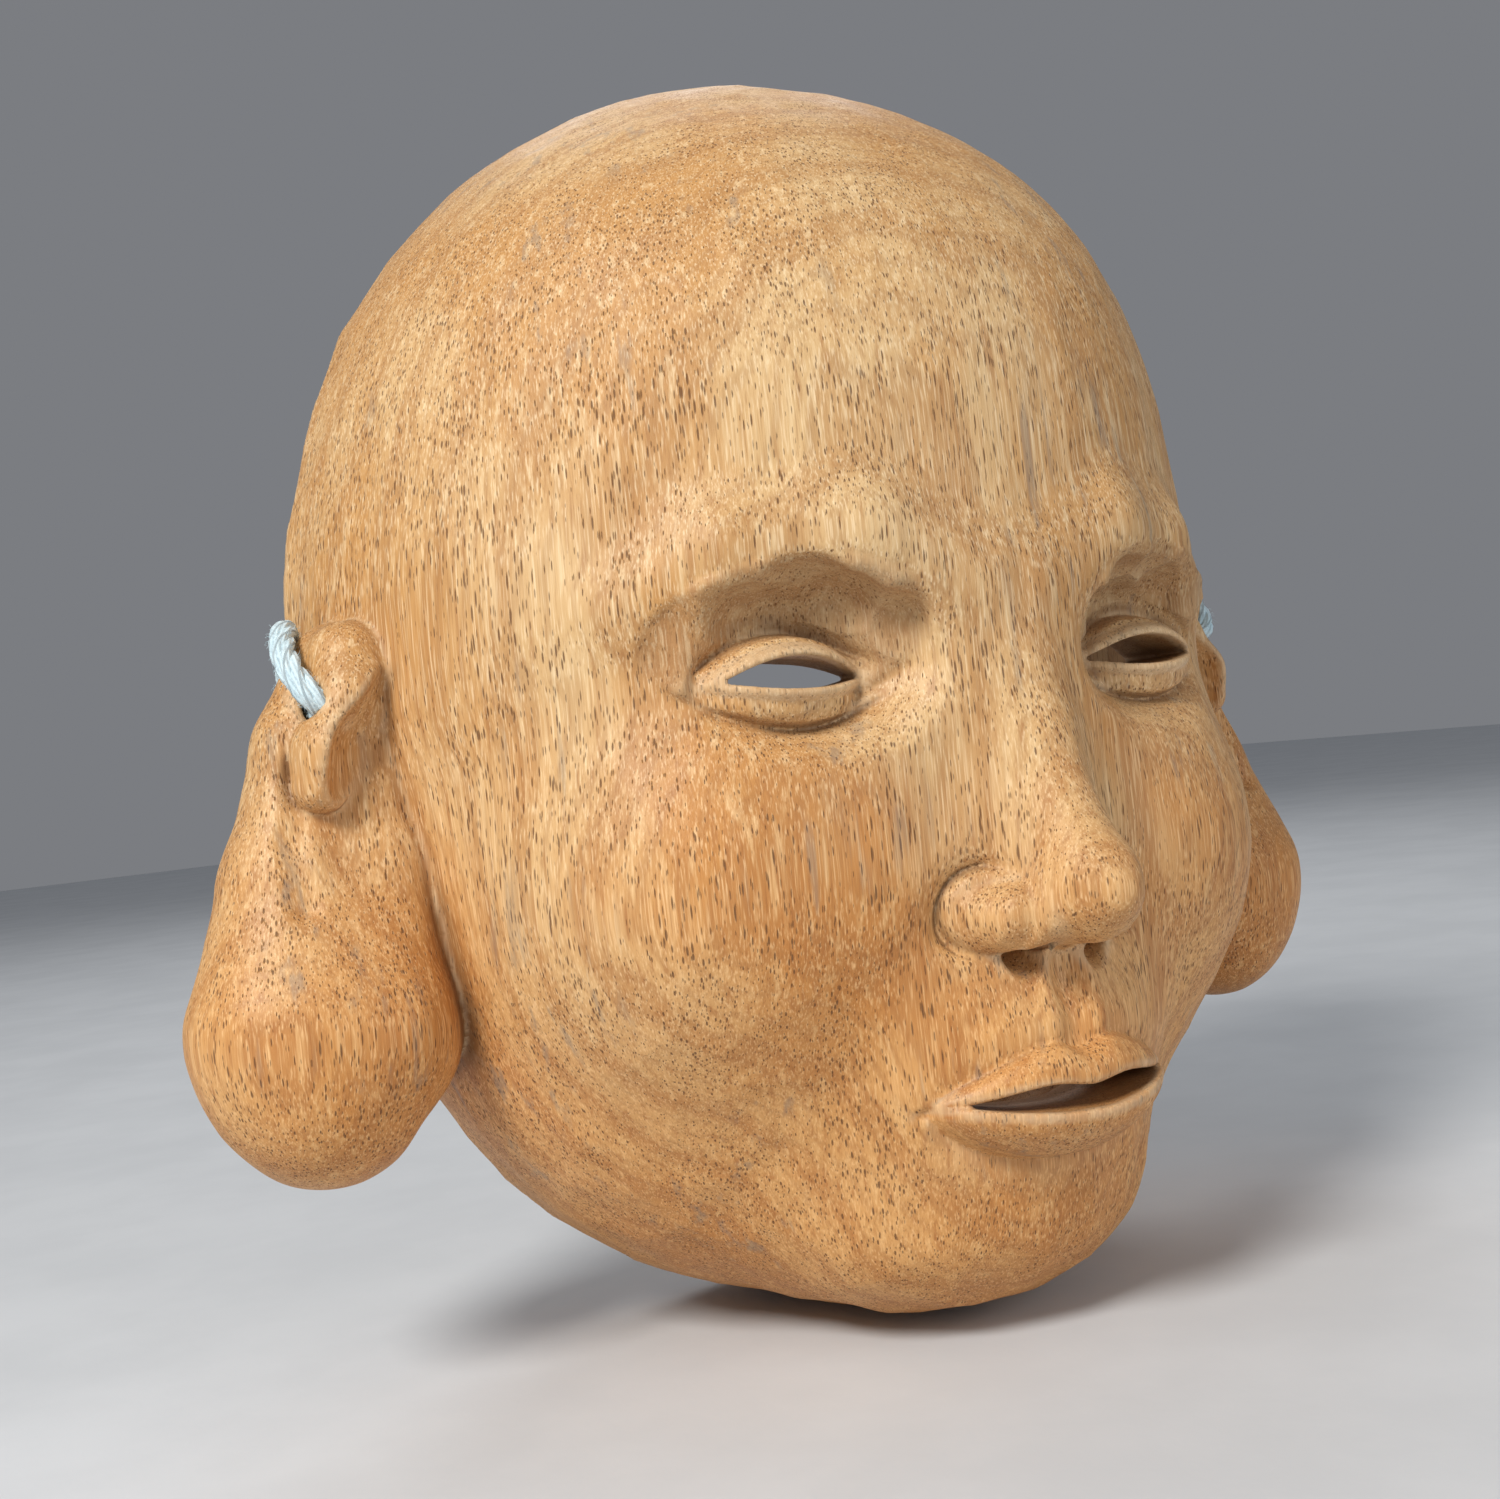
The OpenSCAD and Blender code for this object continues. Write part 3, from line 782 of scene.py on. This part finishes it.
def wood(p):
    """The whole carving. Negative inside the wood, in millimetres."""
    p = np.asarray(p, np.float32)
    field = outside(p)
    q = folded(p)
    carve_ear(field, q)
    # the hollow, which leaves the wall thicker behind the sockets
    spare = bell(np.hypot(q[:, 0] - EYE_X, q[:, 2] - 5), 17)
    thicker = 5 * spare * rise(-q[:, 1], 0.3 * DEPTH, 0.6 * DEPTH)
    field = scoop(field, skull(q) + WALL + thicker, 1.6)
    # the channel across the rim, which the cord lies in
    i = within(q, (CHANNEL_X - 4, -CHANNEL_D - 4, CHANNEL_Z - 9),
               (HALF_W + 6, 4, CHANNEL_Z + 9))
    c = q[i]
    channel = np.maximum(np.abs(c[:, 2] - CHANNEL_Z) - CHANNEL_W / 2, -c[:, 1] - CHANNEL_D)
    field[i] = scoop(field[i], np.maximum(channel, CHANNEL_X - c[:, 0]), 0.8)
    # the flat rim
    return -join(-field, -p[:, 1], 1.0)


# ---------------------------------------------------------------- mesh of a field

# How many points are worked out at once, how many grid steps a block is across, and over
# what distance in millimetres the steps get coarser
PART = 400_000
BLOCK = 4
GROW = 12.0


def in_parts(field, points):
    """The field at many points, a part at a time to save memory."""
    out = np.empty(len(points), np.float32)
    for k in range(0, len(points), PART):
        out[k:k + PART] = field(points[k:k + PART])
    return out


def spaced(low, high, fine_low, fine_high, fine, coarse):
    """Positions from low to high, closer between fine_low and fine_high. Their number is a
    multiple of the grid's block."""
    spots = [low]
    while spots[-1] < high or len(spots) % BLOCK:
        outside_by = max(fine_low - spots[-1], spots[-1] - fine_high, 0)
        spots.append(spots[-1] + fine + (coarse - fine) * min(outside_by / GROW, 1))
    return np.array(spots)


def sample(field, place, shape, reach):
    """The field on a grid, worked out finely only in blocks near its surface."""
    blocks = np.array(shape) // BLOCK
    middle = np.indices(blocks).reshape(3, -1).T * BLOCK + (BLOCK - 1) / 2
    coarse = in_parts(field, place(middle)).reshape(blocks)
    grid = coarse
    for axis in range(3):
        grid = np.repeat(grid, BLOCK, axis)
    view = grid.reshape(blocks[0], BLOCK, blocks[1], BLOCK, blocks[2], BLOCK)
    view = view.transpose(0, 2, 4, 1, 3, 5)
    near = np.argwhere(np.abs(coarse) < reach * BLOCK)
    inner = np.indices((BLOCK,) * 3).reshape(3, -1).T
    points = (near[:, None] * BLOCK + inner[None]).reshape(-1, 3)
    fine = in_parts(field, place(points))
    view[near[:, 0], near[:, 1], near[:, 2]] = fine.reshape(-1, BLOCK, BLOCK, BLOCK)
    return grid


CORNERS = np.array([(i, j, k) for i in (0, 1) for j in (0, 1) for k in (0, 1)])
EDGES = [(a, b) for a in range(8) for b in range(a + 1, 8)
         if np.abs(CORNERS[a] - CORNERS[b]).sum() == 1]


def surface_net(grid):
    """Points, in grid steps, and quads of the surface where the grid's values change sign."""
    inside = grid < 0
    count = np.zeros(np.array(grid.shape) - 1, np.int8)
    n = np.array(count.shape)
    for i, j, k in CORNERS:
        count += inside[i:i + n[0], j:j + n[1], k:k + n[2]]
    cells = np.argwhere((count > 0) & (count < 8))
    values = np.stack([grid[tuple((cells + c).T)] for c in CORNERS], 1)
    total, hits = np.zeros((len(cells), 3)), np.zeros(len(cells))
    for a, b in EDGES:
        cut = (values[:, a] < 0) != (values[:, b] < 0)
        t = values[cut, a] / (values[cut, a] - values[cut, b])
        total[cut] += CORNERS[a] + t[:, None] * (CORNERS[b] - CORNERS[a])
        hits[cut] += 1
    points = cells + total / hits[:, None]
    number = np.full(count.shape, -1, np.int32)
    number[tuple(cells.T)] = np.arange(len(cells))
    quads = []
    for axis in range(3):
        u, v = np.roll(np.eye(3, dtype=int), -axis - 1, 0)[:2]
        ahead, behind = [slice(None)] * 3, [slice(None)] * 3
        ahead[axis], behind[axis] = slice(1, None), slice(None, -1)
        edge = np.argwhere(inside[tuple(behind)] != inside[tuple(ahead)])
        ring = np.stack([number[tuple((edge - o).T)] for o in (0 * u, u, u + v, v)], 1)
        out = inside[tuple(edge.T)]
        quads.append(np.where(out[:, None], ring, ring[:, ::-1]))
    return points, np.vstack(quads)


# The corners of a tetrahedron, which give the slope in four samples
TETRA = np.array([(1, 1, 1), (1, -1, -1), (-1, 1, -1), (-1, -1, 1)], float)


def probe(field, points):
    """The field's value and unit gradient at each point."""
    reach = 0.25
    values = np.stack([in_parts(field, points + reach * t) for t in TETRA], 1)
    slope = values @ TETRA / (4 * reach)
    size = np.maximum(np.linalg.norm(slope, axis=1), 0.2)
    return values.mean(1) / size, slope / size[:, None]


# ---------------------------------------------------------------- tool marks

# How far apart the marks are along x, y and z, and how deep those in a recess are
FLATS = (9, 9, 12)
CUTS, CUT_DEPTH = (11, 11, 10), 3.8
STROKES, STROKE_DEPTH = (8.5, 8.5, 17), 1.8
BROAD_SWELL, BROAD_HEIGHT = (24, 24, 30), 0.8
FINE_SWELL, FINE_HEIGHT = (3.5, 3.5, 9), 0.22


def scattered(i, j, k, seed):
    """A fixed random number from 0 to 1 for each lattice point."""
    h = (i * 73856093) ^ (j * 19349663) ^ (k * 83492791) ^ (seed * 2654435)
    h = (h & 0xFFFFFFFF) * 2246822519 & 0xFFFFFFFF
    h = ((h ^ (h >> 15)) * 3266489917) & 0xFFFFFFFF
    return ((h ^ (h >> 13)) & 0xFFFFFF) / 0xFFFFFF


def gouges(points, size, seed):
    """Cup-shaped tool marks: 0 at a mark's middle, and highest on the ridges between."""
    q = points / np.array(size)
    base = np.floor(q).astype(np.int64)
    best = np.full(len(q), 9.0)
    for step in np.indices((3, 3, 3)).reshape(3, -1).T - 1:
        i, j, k = (base + step).T
        spot = np.stack([scattered(i, j, k, seed + n) for n in range(3)], 1)
        away = base + step + spot - q
        best = np.minimum(best, np.einsum("ij,ij->i", away, away))
    return np.minimum(best, 1.2)


def swell(points, size, seed):
    """Smooth noise from 0 to 1."""
    q = points / np.array(size)
    base = np.floor(q).astype(np.int64)
    t = q - base
    t = t * t * (3 - 2 * t)
    total = 0
    for corner in CORNERS:
        weight = np.prod(np.where(corner, t, 1 - t), axis=1)
        total = total + weight * scattered(*(base + corner).T, seed)
    return total


def socket_share(points):
    """1 in the scooped sockets under the brows, fading out around them and on the lids."""
    q = folded(points)
    x, z = (q[:, 0] - EYE_X - 1) / 23, (q[:, 2] - 6) / 13
    off_lids = rise(ball(q, LIDS_AT, LIDS_SIZE), 0.2, 1.2)
    share = (1 - rise(np.sqrt(x * x + z * z), 0.90, 1.0)) * off_lids
    return share * rise(-q[:, 1], 0.5 * DEPTH, 0.6 * DEPTH)


def smoothed(points, normals):
    """How much of the tool marks is left: little on lids, lips and the fronts of the ears."""
    q = folded(points)
    lids = ball(q, LIDS_AT, (0.47 * EYE_W, 0.22 * DEPTH, 11))
    lips = np.hypot(q[:, 0] / 27, (q[:, 2] - MOUTH_Z) / 13)
    front = rise(-points[:, 1], 0.55 * DEPTH, 0.65 * DEPTH)
    worked = front * np.maximum(1 - rise(lids, 0, 1.5), 1 - rise(lips, 0.9, 1.2))
    ear = rise(q[:, 0], HALF_W - 6, HALF_W) * (1 - rise(normals[:, 1], 0.1, 0.5))
    ear = ear * (1 - rise(points[:, 2], EAR_TOP - 2, EAR_TOP + 4))
    return (1 - 0.8 * worked) * (1 - 0.55 * ear)


def tool_marks(points, normals, hollow, socket):
    """How far the surface stands above the smooth shape, in millimetres, and where the cuts'
    ridges are, from 0 to 1."""
    y, z = points[:, 1], points[:, 2]
    flats = gouges(points, FLATS, 11)
    cuts = gouges(points, CUTS, 23)
    strokes = gouges(points, STROKES, 37)
    # the front is left rougher at its foot and towards the rim, and finer over the crown
    below = rise(-z, 0.3 * HALF_H, 0.85 * HALF_H)
    rear = rise(y, -45, -8) * (1 - 0.6 * rise(z, 40, 90))
    finish = 0.35 + 0.55 * np.maximum(below, rear)
    front = 1 - hollow
    height = front * finish * (flats - 0.35)
    height = height + front * BROAD_HEIGHT * (swell(points, BROAD_SWELL, 5) - 0.5)
    height = height + front * FINE_HEIGHT * (swell(points, FINE_SWELL, 8) - 0.5)
    height = height + CUT_DEPTH * socket * (cuts - 0.25)
    height = height + STROKE_DEPTH * hollow * (strokes - 0.4)
    # The shader paints these ridges pale, as a highlight
    ridges = socket * rise(cuts, 0.3, 0.75) + hollow * rise(strokes, 0.4, 0.85)
    off_rim = 1 - rise(normals[:, 1], 0.85, 0.97) * rise(y, -2.5, -1)
    return height * off_rim * smoothed(points, normals), ridges * off_rim


def shelter(points, normals):
    """How far each point is shut in by the wood around it, from 0 to 1."""
    total = 0
    for reach in (1.2, 3.0, 7.0):
        clear = in_parts(wood, points + reach * normals) / reach
        total = total + np.clip(1 - clear, 0, 1) / 3
    return total


def sharpness(points, normals):
    """1 where the surface is a narrow ridge or edge, and 0 where it is flat or hollow."""
    reach = 1.6
    under = -in_parts(wood, points - reach * normals) / reach
    return rise(1 - under, 0.12, 0.5)


def make_mask():
    """The carving, meshed more finely over the face than at the back."""
    step = 1
    low, high = SHELL_LOW - 3, SHELL_HIGH + 3
    fine = 0.64 * step
    axes = [spaced(low[0], high[0], -50, 50, fine, 0.85 * step),
            spaced(low[1], high[1], low[1], -55, fine, 0.90 * step),
            spaced(low[2], high[2], -88, 32, fine, 0.90 * step)]

    def place(steps):
        return np.stack([np.interp(steps[:, k], np.arange(len(axes[k])), axes[k])
                         for k in range(3)], 1)

    grid = sample(wood, place, [len(axis) for axis in axes], 2 * step)
    points, quads = surface_net(grid)
    points = place(points)
    for _ in range(2):
        off, normals = probe(wood, points)
        points = points - normals * np.clip(off, -0.4 * step, 0.4 * step)[:, None]
    _, normals = probe(wood, points)

    socket = socket_share(points)
    hollow = 1 - rise(skull(folded(points)), -8.5, -6.5)
    hollow = hollow * rise(-points[:, 1], 0.2, 1.5) * (1 - socket)
    raised, ridges = tool_marks(points, normals, hollow, socket)
    mask = make_mesh("carved_mask", points + normals * raised[:, None], quads, {
        "hollow": hollow,
        "socket": socket,
        # Painted shade: how far the wood shuts each point in darkens it in the shader
        "cavity": shelter(points, normals),
        # Worn edges, and a painted highlight on the ridges of the tool cuts
        "edge": np.maximum(sharpness(points, normals), 0.45 * ridges),
        "end_grain": np.abs(normals[:, 2]) ** 2,
    })
    mask.data.materials.append(wood_material())
    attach(mask, "mask")
    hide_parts("mask_shell")


# ---------------------------------------------------------------- room

FLOOR_GAP = 0.0006
# Each lamp's place, what it is aimed at, its diameter, power and colour
LAMPS = {
    "key": ((-0.87, -0.48, 0.74), (0, -0.04, 0), 0.40, 14.5, (1.0, 0.97, 0.93)),
    "fill": ((0.60, -1.0, 0.30), (0, -0.04, 0), 0.8, 3.2, (0.96, 0.98, 1.0)),
    "rear": ((0.5, 0.8, 0.9), (0, 0, 0), 0.7, 3.5, (1.0, 1.0, 1.0)),
}
SKY, SKY_STRENGTH = (0.9, 0.93, 1.0, 1), 0.22


def make_floor():
    """The floor under the chin, which stays in the studio."""
    bpy.ops.mesh.primitive_grid_add(x_subdivisions=8, y_subdivisions=8, size=6)
    floor = bpy.context.object
    floor.name = "floor"
    floor.location = (0, 0, cad_box[0][2] - FLOOR_GAP)
    floor.data.materials.append(floor_material())


def light_room():
    """The lamps and a weak even sky."""
    for name, (place, aim, size, power, colour) in LAMPS.items():
        data = bpy.data.lights.new(name, "AREA")
        data.shape, data.size, data.energy, data.color = "DISK", size, power, colour
        lamp = bpy.data.objects.new(name, data)
        lamp.location = place
        lamp.rotation_euler = (Vector(aim) - Vector(place)).to_track_quat("-Z", "Y").to_euler()
        bpy.context.scene.collection.objects.link(lamp)
    world = bpy.data.worlds.new("room")
    world.use_nodes = True
    background = world.node_tree.nodes["Background"]
    background.inputs["Color"].default_value = SKY
    background.inputs["Strength"].default_value = SKY_STRENGTH
    scene = bpy.context.scene
    scene.world = world
    scene.view_settings.view_transform = "Standard"


make_camera()
make_cords()
make_mask()
make_floor()
light_room()
